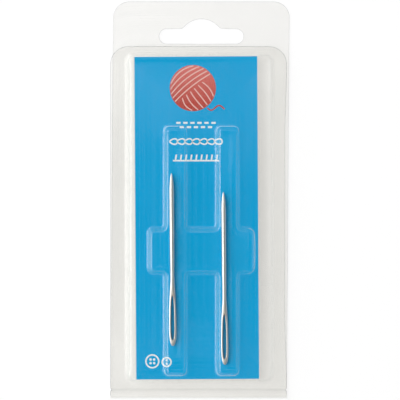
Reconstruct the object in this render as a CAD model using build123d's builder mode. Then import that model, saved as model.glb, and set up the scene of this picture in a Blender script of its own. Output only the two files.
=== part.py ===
from build123d import *
import os
from math import atan2, cos, degrees, radians, sin, sqrt, tan

# Hanging pack of two steel yarn needles: a clear clamshell folded from one sheet, a printed card and the needles.
# The pack lies on its back: +Z comes out of its front, +Y runs to the hang tab, +X is to the right.
# The origin is under the middle of the pack, on the surface it lies on. Lengths are millimetres, angles degrees.

# Clear sheet
sheet = 0.4
fold_gap = 0.1

# Needles
needle_length = 68.9
shaft_diameter = 2.0
point_length = 7.0
neck_diameter = 1.75
neck_from_end = 28.0
neck_taper = 12.0
shaft_into_head = 5.0
head_width = 2.95
head_thickness = 1.2
head_belly_from_end = 5.5
shoulder_width = 2.5
eye_length = 17.5
eye_width = 1.4
eye_from_end = 2.4
head_edge_share = 0.35
eye_rim_share = 0.25
head_neck_share = 0.9
heel_round_shares = [0.9, 1.6]
point_round_shares = [1.2, 0.35]
shaft_end_share = 0.5
needle_gap = 0.05
needle_lean = 0.5

# Needle channels and the crossbar between them, measured at their foot
needle_travel = 28.63
needle_end_gap = 0.3
needle_top_gap = 0.4
channel_width = 9.6
channel_spacing = 20.8
channel_corner = 2.4
channel_wall_run = 1.7
channel_edge = 0.7
crossbar_height = 18.8
crossbar_overhang = 6.45
crossbar_corner = 2.8
channel_inner_corner = 1.0
channel_shift = 0.55

# Where the needles lie: share of the travel above its low end, and share of the play to the left of the channel
left_rise_share = 0.368
left_side_share = 0.724
right_rise_share = 0.106
right_side_share = 0.787

# Tray round the card, measured at its foot
head_room = 29.1
heel_room = 2.96
side_room = 8.15
tray_corner = 4.0
tray_wall_run = 1.1
tray_edge = 0.9
card_top_gap = 0.3

# Card
card_thickness = 0.45
card_side_play = 3.73
card_end_gap = 0.4
card_lean = 0.35
card_left_share = 0.37
card_side_gap = 0.2

# Plug that rises from the back and carries the card
plug_rise = 3.2
plug_gap = 0.3
plug_edge = 0.8

# Flanges, hang tab and its Euro hole
side_flange = 5.45
top_flange = 2.4
bottom_flange = 2.6
front_corner = 7.2
back_corner = 6.4
tab_shift = 1.16
hole_to_front = 0.96
hole_length = 33.7
hole_height = 6.12
hole_bump_rise = 3.84
hole_bump_width = 14.6
hole_bump_blend = 0.8
hole_to_top = 7.0

# Folded bead along the bottom, the hinge
web_depth = 3.5
web_height = 1.8
fold_notch = 0.6

os.makedirs("parts", exist_ok=True)


def hollow_inset(draft):
    """How far a hollow's foot outline, one sheet lower, lies inside its drafted outer face."""
    return sheet * (1 - sin(radians(draft))) / cos(radians(draft))


# Heights, from the resting face up
front_base = sheet + fold_gap
plug_top = sheet + plug_rise
card_top = plug_top + card_thickness
tray_ceiling = card_top + card_top_gap
tray_rise = tray_ceiling - front_base
tray_top = tray_ceiling + sheet
tray_draft = degrees(atan2(tray_wall_run, tray_rise))
needle_axis = card_top + needle_gap + shaft_diameter / 2
channel_rise = card_top + needle_gap + shaft_diameter + needle_top_gap - tray_ceiling
channel_draft = degrees(atan2(channel_wall_run, channel_rise))



def channel_wall(height):
    """How far a channel's inner wall stands in from the channel's foot at that height."""
    return hollow_inset(channel_draft) + (height - tray_ceiling) * tan(radians(channel_draft))


# Lengths along Y, from the channels outwards
wall_at_point = channel_wall(needle_axis)
wall_at_head = channel_wall(needle_axis + head_thickness / 2)
channel_length = needle_length + needle_travel + 2 * needle_end_gap + wall_at_point + wall_at_head
tray_length = heel_room + channel_length + head_room
front_length = bottom_flange + tray_length + top_flange
tab_rise = hole_to_front + hole_height + hole_bump_rise + hole_to_top
pack_length = web_depth + front_length + tab_rise
crease_y = web_depth - pack_length / 2
front_top_y = crease_y + front_length
tray_low_y = crease_y + bottom_flange
tray_y = tray_low_y + tray_length / 2
channel_y = tray_low_y + heel_room + channel_length / 2
hole_y = front_top_y + hole_to_front + hole_height / 2

# Widths along X
crossbar_length = channel_spacing + channel_width + 2 * crossbar_overhang
tray_width = crossbar_length + 2 * side_room
panel_width = tray_width + 2 * side_flange
fold_x = -tab_shift / 2
tab_x = tab_shift / 2
low_left = fold_x - panel_width / 2
low_right = fold_x + panel_width / 2

# Card size and place
tray_wall_at_card = hollow_inset(tray_draft) + (card_top - front_base) * tan(radians(tray_draft))
card_width = tray_width - 2 * (tray_wall_at_card + card_side_play)
card_length = tray_length - 2 * (tray_wall_at_card + card_end_gap)
card_x = -card_left_share * card_side_play
card_sweep = card_length / 2 * sin(radians(card_lean))
card_swing = card_width / 2 * sin(radians(card_lean))
corner_radius = tray_corner - tray_wall_at_card


def corner_reach(end_room):
    """How far the tray's round corner stands in from its side wall, at end_room from its end wall."""
    return corner_radius - sqrt(corner_radius**2 - max(corner_radius - end_room, 0) ** 2)


# The card's square corners meet the tray's round ones before its sides meet the walls
card_reach = card_side_gap + max(
    corner_reach(card_end_gap + card_swing) + card_sweep,
    corner_reach(card_end_gap - card_swing) - card_sweep,
)
card_left_travel = card_side_play + card_x - card_reach
card_right_travel = card_side_play - card_x - card_reach

# Hinge axis, in the middle of the bead's nose
nose_radius = web_height / 2
hinge_y = crease_y - web_depth + nose_radius
hinge_z = sheet + fold_gap / 2


def tray_form(base_z, inset, rise, edge):
    """Drafted block as tall as rise, with the tray's outline drawn in by inset at its foot."""
    with BuildPart() as form:
        with BuildSketch(Plane((0, tray_y, base_z))):
            RectangleRounded(tray_width - 2 * inset, tray_length - 2 * inset, tray_corner - inset)
        extrude(amount=rise, taper=tray_draft)
        fillet(form.faces().sort_by(Axis.Z)[-1].outer_wire().edges(), edge)
    return form.part


def channel_form(base_z, inset, edge):
    """Drafted block of the two channels and their crossbar, with their outline drawn in by inset at its foot."""
    with BuildPart() as form:
        with BuildSketch(Plane((channel_shift, channel_y, base_z))):
            with Locations((-channel_spacing / 2, 0), (channel_spacing / 2, 0)):
                RectangleRounded(channel_width - 2 * inset, channel_length - 2 * inset, channel_corner - inset)
        extrude(amount=channel_rise, taper=channel_draft)
        with BuildSketch(Plane((channel_shift, channel_y, base_z))):
            RectangleRounded(crossbar_length - 2 * inset, crossbar_height - 2 * inset, crossbar_corner - inset)
        extrude(amount=channel_rise, taper=channel_draft)
        fillet(form.edges(Select.NEW), channel_inner_corner + inset)
        fillet(form.faces().sort_by(Axis.Z)[-1].outer_wire().edges(), edge)
    return form.part


# Front half of the clamshell: flange, tray and needle channels in one skin
with BuildPart() as front_shell:
    with BuildSketch(Plane((fold_x, (crease_y + front_top_y) / 2, front_base))) as front_outline:
        Rectangle(panel_width, front_length)
        fillet(front_outline.vertices().group_by(Axis.Y)[-1], front_corner)
        chamfer(front_outline.vertices().group_by(Axis.Y)[0], fold_notch)
    extrude(amount=sheet)
    add(tray_form(front_base + sheet, 0, tray_rise, tray_edge))
    add(channel_form(tray_top, 0, channel_edge))
    add(tray_form(front_base, hollow_inset(tray_draft), tray_rise, tray_edge - sheet), mode=Mode.SUBTRACT)
    add(channel_form(tray_ceiling, hollow_inset(channel_draft), channel_edge - sheet), mode=Mode.SUBTRACT)
front_shell.part.label = "front_shell"

# Back half: flange and hang tab with its hole, and the plug that fills the tray behind the card
plug_inset = hollow_inset(tray_draft) - fold_gap * tan(radians(tray_draft)) + plug_gap
with BuildPart() as back_shell:
    with BuildSketch() as back_outline:
        with BuildLine():
            Polyline(
                (low_left, crease_y),
                (low_right, crease_y),
                (tab_x + panel_width / 2, pack_length / 2),
                (tab_x - panel_width / 2, pack_length / 2),
                close=True,
            )
        make_face()
        fillet(back_outline.vertices().group_by(Axis.Y)[-1], back_corner)
        chamfer(back_outline.vertices().group_by(Axis.Y)[0], fold_notch)
    extrude(amount=sheet)
    add(tray_form(sheet, plug_inset, plug_rise, plug_edge))
    add(tray_form(0, plug_inset + hollow_inset(tray_draft), plug_rise, plug_edge - sheet), mode=Mode.SUBTRACT)
    with BuildSketch(Plane((tab_x, hole_y, 0))) as hang_hole:
        SlotOverall(hole_length, hole_height)
        with BuildLine():
            ThreePointArc(
                (-hole_bump_width / 2, hole_height / 2),
                (0, hole_height / 2 + hole_bump_rise),
                (hole_bump_width / 2, hole_height / 2),
            )
            Line((hole_bump_width / 2, hole_height / 2), (-hole_bump_width / 2, hole_height / 2))
        make_face()
        bump_feet = hang_hole.vertices().filter_by(
            lambda v: abs(abs(v.X) - hole_bump_width / 2) < hole_bump_blend / 2
        )
        fillet(bump_feet, hole_bump_blend)
    extrude(amount=sheet, mode=Mode.SUBTRACT)
back_shell.part.label = "back_shell"

# Folded bead: flat under, round at the nose, crowned on top and creased where it meets the front's flange
with BuildPart() as hinge_web:
    with BuildSketch(Plane((low_left, 0, 0), x_dir=(0, 1, 0), z_dir=(1, 0, 0))):
        with BuildLine():
            under = Line((crease_y, 0), (hinge_y, 0))
            nose = ThreePointArc(under @ 1, (hinge_y - nose_radius, nose_radius), (hinge_y, web_height))
            crown = TangentArc(nose @ 1, (crease_y, front_base + sheet), tangent=(1, 0))
            rim = Line(crown @ 1, (crease_y, front_base))
            inner_crown = TangentArc((hinge_y, web_height - sheet), rim @ 1, tangent=(1, 0))
            inner_nose = ThreePointArc(
                inner_crown @ 0, (hinge_y - nose_radius + sheet, nose_radius), (hinge_y, sheet)
            )
            inner_floor = Line(inner_nose @ 1, (crease_y, sheet))
            Line(inner_floor @ 1, under @ 0)
        make_face()
    extrude(amount=panel_width)
    rim_corners = hinge_web.edges().filter_by(Axis.Z).filter_by_position(Axis.Y, crease_y, crease_y)
    chamfer(rim_corners, fold_notch)
hinge_web.part.label = "hinge_web"

# Printed card, lying on the plug and leaning a little to the left
card_plane = Plane((card_x, tray_y, plug_top), x_dir=(cos(radians(card_lean)), sin(radians(card_lean)), 0))
with BuildPart() as card:
    with BuildSketch(card_plane):
        Rectangle(card_width, card_length)
    extrude(amount=card_thickness)
card.part.label = "card"

# Room for a needle in its channel: the play to each side, and the low end of its travel
needle_sweep = needle_length / 2 * sin(radians(needle_lean))
needle_side_play = channel_width / 2 - wall_at_head - head_width / 2 - needle_sweep
low_end_y = channel_y - channel_length / 2 + wall_at_head + needle_end_gap


def build_needle(channel_x, side_share, rise_share):
    """Yarn needle, point up: a round shaft with a blunt point, and a flat head round a long eye."""
    turn = radians(needle_lean)
    end_x = channel_x - side_share * needle_side_play + needle_sweep
    end_y = low_end_y + rise_share * needle_travel
    flat = Plane((end_x, end_y, needle_axis), x_dir=(cos(turn), sin(turn), 0))
    rail = (head_width - eye_width) / 2
    eye_top = eye_from_end + eye_length
    with BuildPart() as head:
        with BuildSketch(flat):
            with BuildLine():
                heel = Spline(
                    (0, 0),
                    (head_width / 2, head_belly_from_end),
                    tangents=[(1, 0), (0, 1)],
                    tangent_scalars=heel_round_shares,
                )
                side = Spline(
                    heel @ 1,
                    (shoulder_width / 2, eye_top),
                    (neck_diameter / 2 * head_neck_share, neck_from_end),
                    tangents=[(0, 1), (0, 1)],
                )
                Line(side @ 1, (0, neck_from_end))
                mirror(about=Plane.YZ)
            make_face()
        extrude(amount=head_thickness / 2, both=True)
        rims = head.edges().filter_by(GeomType.BSPLINE)
        fillet(rims, rail * head_edge_share)
        with BuildSketch(flat):
            with Locations((0, eye_from_end + eye_length / 2)):
                SlotOverall(eye_length, eye_width, rotation=90)
        extrude(amount=head_thickness, both=True, mode=Mode.SUBTRACT)
        eye_rims = head.edges(Select.NEW).filter_by(Axis.Z, reverse=True)
        fillet(eye_rims, rail * eye_rim_share)
    with BuildPart() as needle:
        with BuildSketch(flat):
            with BuildLine():
                shaft_low = neck_from_end - shaft_into_head
                foot = Line((0, shaft_low), (head_thickness / 2 * shaft_end_share, shaft_low))
                neck = Line(foot @ 1, (neck_diameter / 2, neck_from_end))
                swell = Spline(
                    neck @ 1,
                    (shaft_diameter / 2, neck_from_end + neck_taper),
                    tangents=[(0, 1), (0, 1)],
                )
                shaft = Line(swell @ 1, (shaft_diameter / 2, needle_length - point_length))
                point = Spline(
                    shaft @ 1,
                    (0, needle_length),
                    tangents=[(0, 1), (-1, 0)],
                    tangent_scalars=point_round_shares,
                )
                Line(point @ 1, foot @ 0)
            make_face()
        revolve(axis=Axis(flat.origin, flat.y_dir))
        add(head.part)
    return needle.part


# The two needles, loose in their channels at different heights
needle_left = build_needle(channel_shift - channel_spacing / 2, left_side_share, left_rise_share)
needle_left.label = "needle_left"
needle_right = build_needle(channel_shift + channel_spacing / 2, right_side_share, right_rise_share)
needle_right.label = "needle_right"

for piece in (front_shell.part, back_shell.part, hinge_web.part, card.part, needle_left, needle_right):
    export_step(piece, f"parts/{piece.label}.step")

# Sizes and travels that follow from the values above
print("pack", panel_width + tab_shift, pack_length, "front to back", tray_top + channel_rise)
print("card", card_width, card_length, "slides", -card_left_travel, card_right_travel)
for name, share in (("needle_left", left_rise_share), ("needle_right", right_rise_share)):
    print(name, "slides", -share * needle_travel, (1 - share) * needle_travel)
print("hinge axis", hinge_y, hinge_z, "hang hole", tab_x, hole_y, "back face", plug_top, tray_y)
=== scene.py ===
import math

import bmesh
import bpy
import numpy as np
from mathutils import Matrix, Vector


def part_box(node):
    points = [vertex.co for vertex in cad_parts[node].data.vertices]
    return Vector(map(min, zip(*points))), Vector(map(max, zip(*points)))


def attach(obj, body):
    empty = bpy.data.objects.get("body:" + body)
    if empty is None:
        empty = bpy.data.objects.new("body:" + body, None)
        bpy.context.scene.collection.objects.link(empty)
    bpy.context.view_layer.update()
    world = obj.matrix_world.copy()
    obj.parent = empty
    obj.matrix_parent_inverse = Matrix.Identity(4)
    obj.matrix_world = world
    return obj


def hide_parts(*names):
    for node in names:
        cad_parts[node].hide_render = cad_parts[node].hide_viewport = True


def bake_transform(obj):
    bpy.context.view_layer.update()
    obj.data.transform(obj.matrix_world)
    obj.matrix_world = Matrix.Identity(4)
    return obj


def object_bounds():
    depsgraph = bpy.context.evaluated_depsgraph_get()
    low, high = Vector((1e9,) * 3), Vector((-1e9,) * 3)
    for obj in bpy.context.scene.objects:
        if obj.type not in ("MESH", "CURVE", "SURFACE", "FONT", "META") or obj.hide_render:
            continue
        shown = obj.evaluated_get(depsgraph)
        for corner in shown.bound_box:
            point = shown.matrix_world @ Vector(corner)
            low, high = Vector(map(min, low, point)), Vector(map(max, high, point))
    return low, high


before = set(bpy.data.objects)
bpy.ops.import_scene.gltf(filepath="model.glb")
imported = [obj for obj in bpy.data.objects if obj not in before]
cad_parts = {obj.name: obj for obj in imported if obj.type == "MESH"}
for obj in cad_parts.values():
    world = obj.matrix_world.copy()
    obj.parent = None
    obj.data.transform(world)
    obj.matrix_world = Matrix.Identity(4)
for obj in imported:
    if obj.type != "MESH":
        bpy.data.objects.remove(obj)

# Hanging pack of two yarn needles, lying on its back: a clear folded sheet, a printed card, two steel needles.
# Lengths are metres. X runs to the right, Y to the hang tab, Z out of the front.
MM = 0.001
cad_low, cad_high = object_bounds()
front_low, front_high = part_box("front_shell")
_, back_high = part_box("back_shell")
web_low, web_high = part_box("hinge_web")
card_low, card_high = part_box("card")

# Clear sheet, its flanges and its cut edges
SHEET = 0.4 * MM
CUT_BEVEL = 0.12 * MM
SIDE_FLANGE = 5.45 * MM
TOP_FLANGE = 2.4 * MM
BOTTOM_FLANGE = 2.6 * MM
FRONT_CORNER = 7.2 * MM
BACK_CORNER = 6.4 * MM
FOLD_NOTCH = 0.6 * MM
EDGE_BOW = 0.7 * MM
BOW_START = 30 * MM
BOW_END = 25 * MM
FLANGE_LIFT = 0.35 * MM
LIFT_START = 25 * MM
BACK_LIFT_SHARE = 0.8

# Tray round the card: rounded outline at its foot, drafted walls, soft bends at foot and top
TRAY_CORNER = 4.0 * MM
TRAY_RUN_LEFT = 1.9 * MM
TRAY_RUN_RIGHT = 0.95 * MM
TRAY_RUN_ENDS = 1.1 * MM
TRAY_FOOT = 0.5 * MM
TRAY_EDGE = 0.9 * MM
TRAY_TOP = 4.75 * MM
TRAY_SAG = 0.1 * MM

# Needle channels and their crossbar
CHANNEL_WIDTH = 9.6 * MM
CHANNEL_SPACING = 20.8 * MM
CHANNEL_CORNER = 2.4 * MM
CHANNEL_RUN = 1.45 * MM
CHANNEL_RUN_CHANGE = 0.3 * MM
CHANNEL_FOOT = 0.5 * MM
CHANNEL_EDGE = 0.7 * MM
CHANNEL_SHIFT = 0.55 * MM
CHANNEL_HEEL_ROOM = 2.96 * MM
CHANNEL_HEAD_ROOM = 29.1 * MM
CROSSBAR_HEIGHT = 18.8 * MM
CROSSBAR_OVERHANG = 6.45 * MM
CROSSBAR_CORNER = 2.8 * MM
CROSSBAR_BOW = 0.45 * MM
INNER_CORNER = 1.0 * MM
CHANNEL_SAG = 0.07 * MM
SLOPE_STEP = 0.02 * MM

# Unevenness of the formed sheet: seed and length of the waves, and the depths between which a sag sets in
FLANGE_WAVES = (11, 70 * MM)
TRAY_WAVES = (5, 45 * MM)
CHANNEL_WAVES = (8, 30 * MM)
TRAY_SAG_DEPTHS = (3 * MM, 12 * MM)
CHANNEL_SAG_DEPTHS = (2.2 * MM, 4.5 * MM)

# Plug on the back that fills the tray behind the card
PLUG_INSET = 0.55 * MM
PLUG_TOP = 3.6 * MM
PLUG_EDGE = 0.8 * MM

# Hang hole, from its centre, and the rings of the tab round it
HOLE_LENGTH = 33.7 * MM
HOLE_HEIGHT = 6.12 * MM
HOLE_BUMP_RISE = 3.84 * MM
HOLE_BUMP_WIDTH = 14.6 * MM
HOLE_TO_TOP = 7.0 * MM
HOLE_BLEND = 0.9 * MM
TAB_JOIN_ABOVE_TRAY = 0.9 * MM
TAB_RING_SHARES = (0.04, 0.12, 0.25, 0.45, 0.7, 0.88, 0.96, 1)

# Needle: its sizes, then the powers and shares that round its outline
NEEDLE_LEAN = math.radians(0.5)
NEEDLE_RADIUS = 1.0 * MM
NECK_RADIUS = 0.875 * MM
HEAD_HALF_WIDTH = 1.475 * MM
HEAD_HALF_THICKNESS = 0.6 * MM
EYE_HALF_WIDTH = 0.8 * MM
EYE_RIM = 0.16 * MM
EYE_START = 2.4 * MM
EYE_END = 19.9 * MM
BELLY_AT = 5.5 * MM
NECK_AT = 28.0 * MM
SWELL_END = 40.0 * MM
POINT_LENGTH = 7.0 * MM
HEEL_POWER = 2.3
HEEL_FLAT = 1.4 * MM
NECK_POWER = 1.6
NECK_LEAD = 3.0 * MM
POINT_POWERS = (1.6, 0.6)
HEAD_SQUARENESS = 3.4
EYE_POWER = 3.2
EYE_TAPER = 0.35
EYE_WALL_CROWN = 0.14
EYE_RIM_DROP = 0.16

# Card and its print. Strands are in ball radii, stitch rows and buttons in millimetres.
CARD_LEAN = math.radians(0.35)
CARD_BORDERS = ((0.34 * MM, 0.16 * MM), (0.06 * MM, 0.08 * MM))
CARD_BEVEL = 0.04 * MM
CARD_CURL = 0.12 * MM
CARD_CURL_POWER = 8
INK = 0.02 * MM
BALL_RADIUS = 9.2 * MM
STRAND_LEAN = math.radians(38)
STRAND_START = 0.05
STRAND_REACH = 0.965
STRAND_BULGE = (0.07, 0.12)
STRAND_SWAY = 0.16
STRAND_WIDTH = 0.42 * MM
STRANDS_ACROSS = (0.02, 0.2, 0.38, 0.56, 0.74)
STRANDS_DOWN = (-0.62, -0.4, -0.18, 0.04, 0.26, 0.48)
TAIL_WIDTH = 0.55 * MM
STITCH_ROWS = ((-1.6, 29.9, 16.8), (-1.6, 23.3, 20.8), (-1.6, 16.8, 18.4))
THREAD = 0.62 * MM
BUTTONS = ((-2.2, 0.0, 2.55, 4, 0.5), (3.5, 0.3, 1.75, 2, 0.42))

# Grid: spacing on bends and on flats, how fast it widens, and how far it stays fine about each kind of place.
# Points within the steady widths keep their place across the panel. Seams are merged over SEAM_GAP.
FINE = 0.17 * MM
COARSE = 1.7 * MM
GROWTH = 0.36
CHANNEL_FINE = 1.25 * MM
BAR_END_FINE = 1.3 * MM
TRAY_SIDES_FINE = (1.45 * MM, 1.1 * MM)
TRAY_ENDS_FINE = 1.15 * MM
PLUG_SIDES_FINE = (1.4 * MM, 1.0 * MM)
PLUG_ENDS_FINE = 1.1 * MM
FOLD_FINE = 0.7 * MM
SIDE_EDGE_FINE = 0.1 * MM
TOP_EDGE_FINE = 0.3 * MM
FRONT_STEADY = 30.9 * MM
BACK_STEADY = 30.4 * MM
STEADY_MARGIN = 2.4 * MM
RULER_MARKS = 6000
SHARP_ANGLE = math.radians(40)
SEAM_GAP = 0.0001 * MM

# Bright lines on the clear sheet's bends, which are painted glints with some stress whitening, its walls, whose haze is
# partly painted sheen, and its dark lines of painted shade: where they lie, how wide they are and how strongly they
# show
BEND_PLACES = (0.3, 0.9)
BEND_WIDTH = 0.15 * MM
SOFT_BEND_GLINT = 0.2
CRISP_BEND_GLINT = 0.75
CRISP_END_REACH = (3.4 * MM, 2.2 * MM)
CRISP_BAR_REACH = (3.6 * MM, 2.2 * MM)
CRISP_WALL_LOSS = 0.6
ON_CHANNELS = (-1.5 * MM, -0.5 * MM)
END_WALL_SHARE = 0.42
TRAY_WALL_SHARE = 0.3
# Dark lines of painted shade along the crease and just inside the tray's top edge
CREASE_WIDTH = 0.4 * MM
INNER_LINE_AT = 0.35 * MM
INNER_LINE_SHARE = 0.5

# Light through the clear sheet and off it
FILM_TINT = (0.976, 0.974, 0.966, 1)
# DARK_FILM_TINT is the film's colour on its dark lines of painted shade
DARK_FILM_TINT = (0.80, 0.80, 0.79, 1)
LAMP_TINT = (0.975, 0.974, 0.967, 1)
TILT_SHADE = 0.2
LINE_SHADE = 0.16
WALL_FACING = (0.08, 0.75)
FLAT_HAZE = 0.0015
# Haze on walls and bends: partly real haze and stress whitening, partly painted sheen and painted glints. The haze's
# pale blue is painted light from the card below.
WALL_HAZE_AND_SHEEN = 0.045
BEND_HAZE_AND_GLINT = 0.4
BEND_UNEVENNESS = 0.8
BEND_PATCHES = {"Scale": 130.0, "Detail": 2.0}
HAZE_AND_SHEEN_COLOUR = (0.74, 0.93, 0.97, 1)
HAZE_ROUGHNESS = 0.6
DUST_COLOUR = (0.5, 0.49, 0.46, 1)
DUST_SCALE = 420.0
DUST_SIZE = 0.06
DUST_SHARE = 0.05
DUST_COVER = 0.35
SHEET_ROUGHNESS = 0.05
SHEET_WEAR = {"Scale": 90.0, "Detail": 4.0, "Strength": 0.6}
SHEET_RIPPLE = {"Scale": 45.0, "Detail": 2.0, "Strength": 1.0}
FLANGE_STREAKS = {"Scale": 1.6, "Detail": 2.0}
RIPPLE_BUMP = (0.15, 0.0001)
STREAK_BUMP = (0.35, 0.00006)
FACING_MIRROR = 0.04
GRAZING_MIRROR = 0.8
FRONT_EDGE_COVER = 0.65
BACK_EDGE_COVER = 0.3
EDGE_COLOUR = (0.33, 0.34, 0.33)
EDGE_GRAIN = 700.0
EDGE_ROUGHNESS = 0.45

# Board, inks and steel
PAPER_SPECULAR = 0.05
PAPER_GRAIN = {"Scale": 6000.0, "Detail": 2.0, "Strength": 1.0}
PAPER_TOOTH = 0.00002
STEEL_COLOUR = (0.80, 0.79, 0.76)
STEEL_TONE = {"Scale": 120.0, "Detail": 3.0, "Strength": 0.1}
STEEL_ROUGHNESS = 0.3
STEEL_CLOUD = {"Scale": 260.0, "Detail": 4.0, "Strength": 0.25}
STEEL_LINES = {"Across": 7000.0, "Along": 90.0}
STEEL_LINE_BUMP = (0.2, 0.00001)
# How bright the steel stays inside the eye and on its rim, which are darkened by painted shade
EYE_SHADE_BRIGHTNESS = 0.2

# Studio: a sky that is brighter low down and past the window's edge, the camera's dark place, a soft box, the floor
SKY_LOWEST = 0.02
SKY_HEIGHTS = (0.25, 0.75)
SKY_LOW_DOWN = 1.0
SKY_OVERHEAD = 0.38
SKY_SIDES = (1.1, 1.0)
SKY_END_REACH = (0.3, 0.9)
SKY_ENDS = (1.1, 0.6)
WINDOW_LEAN = 0.35
WINDOW_EDGE = (0.0375, 0.0525)
WINDOW_HEIGHTS = (0.8, 0.92)
WINDOW_GAIN = 0.5
SIDE_FALL = (-0.04, 0.04)
SIDE_GAIN = 1.6
CAMERA_SHADE = ((-0.0185, 0.04), (-0.016, 0.048))
CAMERA_SHADE_EDGE = (0.6, 1.4)
KEY_PLACE = (-1.45, 0.55, 1.7)
KEY_SIZE = (1.9, 1.9)
KEY_WATTS = 29.0
FLOOR_HALF = 3.0
FLOOR_GAP = 0.02 * MM
FLOOR_PAINT = {
    "Base Color": (0.45, 0.45, 0.45, 1),
    "Roughness": 0.9,
    "Specular IOR Level": 0.1,
    "Emission Color": (1, 1, 1, 1),
    "Emission Strength": 0.58,
}

# Camera
SHOWN_HALF = 80.0 * MM
LENS, SENSOR = 270.0, 36.0
CLIP = (0.05, 20.0)


def fine_lines(low, high, places):
    """Grid lines from low to high, FINE apart within reach of each place and wider apart away from them.

    Each place comes with its reach. The number of lines is the running sum of one over the spacing, read back at
    whole counts.
    """
    ruler = np.linspace(low, high, RULER_MARKS)
    away = np.min([np.abs(ruler - place) - reach for place, reach in places], axis=0)
    spacing = np.clip(FINE + GROWTH * away, FINE, COARSE)
    density = 1 / spacing
    count = np.concatenate([[0], np.cumsum((density[1:] + density[:-1]) / 2 * np.diff(ruler))])
    return np.interp(np.linspace(0, count[-1], int(np.ceil(count[-1])) + 1), count, ruler)


def rounded_depth(x, y, centre, half, radius):
    """Depth of a point inside a rounded rectangle: the distance to its outline, negative outside."""
    over_x = np.abs(x - centre[0]) - (half[0] - radius)
    over_y = np.abs(y - centre[1]) - (half[1] - radius)
    outside = np.hypot(np.maximum(over_x, 0), np.maximum(over_y, 0))
    return radius - outside - np.minimum(np.maximum(over_x, over_y), 0)


def joined_depth(first, second, radius):
    """Depth inside two outlines taken together, with a round fillet in the corners between them."""
    reach = np.hypot(np.maximum(radius + first, 0), np.maximum(radius + second, 0))
    return reach - np.maximum(radius, np.minimum(-first, -second))


def drafted_wall(depth, rise, run, foot, edge):
    """Height of a drafted wall over its depth: a slope of rise over run, with arcs of radius foot and edge."""
    turn = np.arctan2(rise, run)
    near = np.tan(turn / 2)
    foot_start, foot_end = -foot * near, foot * near * np.cos(turn)
    edge_start, edge_end = run - edge * near * np.cos(turn), run + edge * near
    foot_arc = foot - np.sqrt(np.maximum(foot**2 - (depth - foot_start) ** 2, 0))
    edge_arc = rise - edge + np.sqrt(np.maximum(edge**2 - (edge_end - depth) ** 2, 0))
    zones = [depth <= foot_start, depth < foot_end, depth < edge_start, depth < edge_end]
    return np.select(zones, [0 * depth, foot_arc, depth * rise / run, edge_arc], rise)


def line_at(distance, width=BEND_WIDTH):
    """1 where the distance is 0, falling off on both sides as a bell curve."""
    return np.exp(-((distance / width) ** 2))


def wall_bends(depth, run):
    """1 on each of the two lines where a wall bends, just above its foot and at its top edge."""
    return [line_at(depth - place * run) for place in BEND_PLACES]


def directions(angle):
    """Unit directions at these angles."""
    return np.stack([np.cos(angle), np.sin(angle)], axis=-1)


def turned(x, y, angle):
    """Points turned about the origin."""
    return x * math.cos(angle) - y * math.sin(angle), x * math.sin(angle) + y * math.cos(angle)


def soft_step(value, low, high):
    """0 below low and 1 above high, with a smooth cubic between."""
    t = np.clip((value - low) / (high - low), 0, 1)
    return t * t * (3 - 2 * t)


def gentle_waves(x, y, seed, length):
    """Four cosine waves in seeded directions, added and brought to 0 to 1, with lengths near the one given."""
    draw = np.random.default_rng(seed)
    total = np.zeros_like(x)
    for heading, phase, stretch in draw.uniform(0, 1, (4, 3)):
        angle = heading * math.pi
        along = x * math.cos(angle) + y * math.sin(angle)
        total += np.cos(2 * math.pi * (along / (length * (0.7 + 0.6 * stretch)) + phase))
    return 0.5 + total / 8


def grid_index(rows, columns, first=0):
    """Numbers of a grid's points, row by row."""
    return first + np.arange(rows * columns).reshape(rows, columns)


def grid_quads(index):
    """Quads between neighbouring rows and columns of a grid of points."""
    corners = (index[:-1, :-1], index[:-1, 1:], index[1:, 1:], index[1:, :-1])
    return np.stack(corners, axis=-1).reshape(-1, 4)


def ring_quads(index):
    """Quads between neighbouring rings: each row of the grid is a ring, which closes on itself."""
    return grid_quads(np.column_stack([index, index[:, 0]]))


def grid_outline(index):
    """Numbers of the points round the edge of a grid, counter-clockwise from its first point."""
    return np.concatenate([index[0, :-1], index[:-1, -1], index[-1, :0:-1], index[:0:-1, 0]])


def point_normals(points, quads):
    """Mean of the quads' normals at each point, from the cross product of their diagonals."""
    across = points[quads[:, 2]] - points[quads[:, 0]]
    back = points[quads[:, 3]] - points[quads[:, 1]]
    face_normals = np.cross(across, back)
    normals = np.zeros_like(points)
    for corner in range(4):
        np.add.at(normals, quads[:, corner], face_normals)
    return normals / np.linalg.norm(normals, axis=1, keepdims=True)


def new_object(name, data):
    """Object in the scene for a mesh, a lamp or a camera."""
    made = bpy.data.objects.new(name, data)
    bpy.context.scene.collection.objects.link(made)
    return made


def add_piece(name, body, points, faces, materials, bands=None, replaced=(), marks=None):
    """Mesh object at the origin, seams merged and faces outward, that rides on a body.

    marks are named values for each point, which the materials read.
    """
    mesh = bpy.data.meshes.new(name)
    mesh.from_pydata(np.asarray(points, float).tolist(), [], np.asarray(faces).tolist())
    for material in materials:
        mesh.materials.append(material)
    if bands is not None:
        mesh.polygons.foreach_set("material_index", np.asarray(bands, np.int32))
    for label, values in (marks or {}).items():
        mesh.attributes.new(label, "FLOAT", "POINT").data.foreach_set("value", np.asarray(values, np.float32))
    work = bmesh.new()
    work.from_mesh(mesh)
    bmesh.ops.remove_doubles(work, verts=work.verts, dist=SEAM_GAP)
    bmesh.ops.recalc_face_normals(work, faces=work.faces)
    work.to_mesh(mesh)
    work.free()
    mesh.polygons.foreach_set("use_smooth", np.ones(len(mesh.polygons), bool))
    mesh.set_sharp_from_angle(angle=SHARP_ANGLE)
    piece = new_object(name, mesh)
    if body:
        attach(piece, body)
    if replaced:
        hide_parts(*replaced)
    return piece


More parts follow.
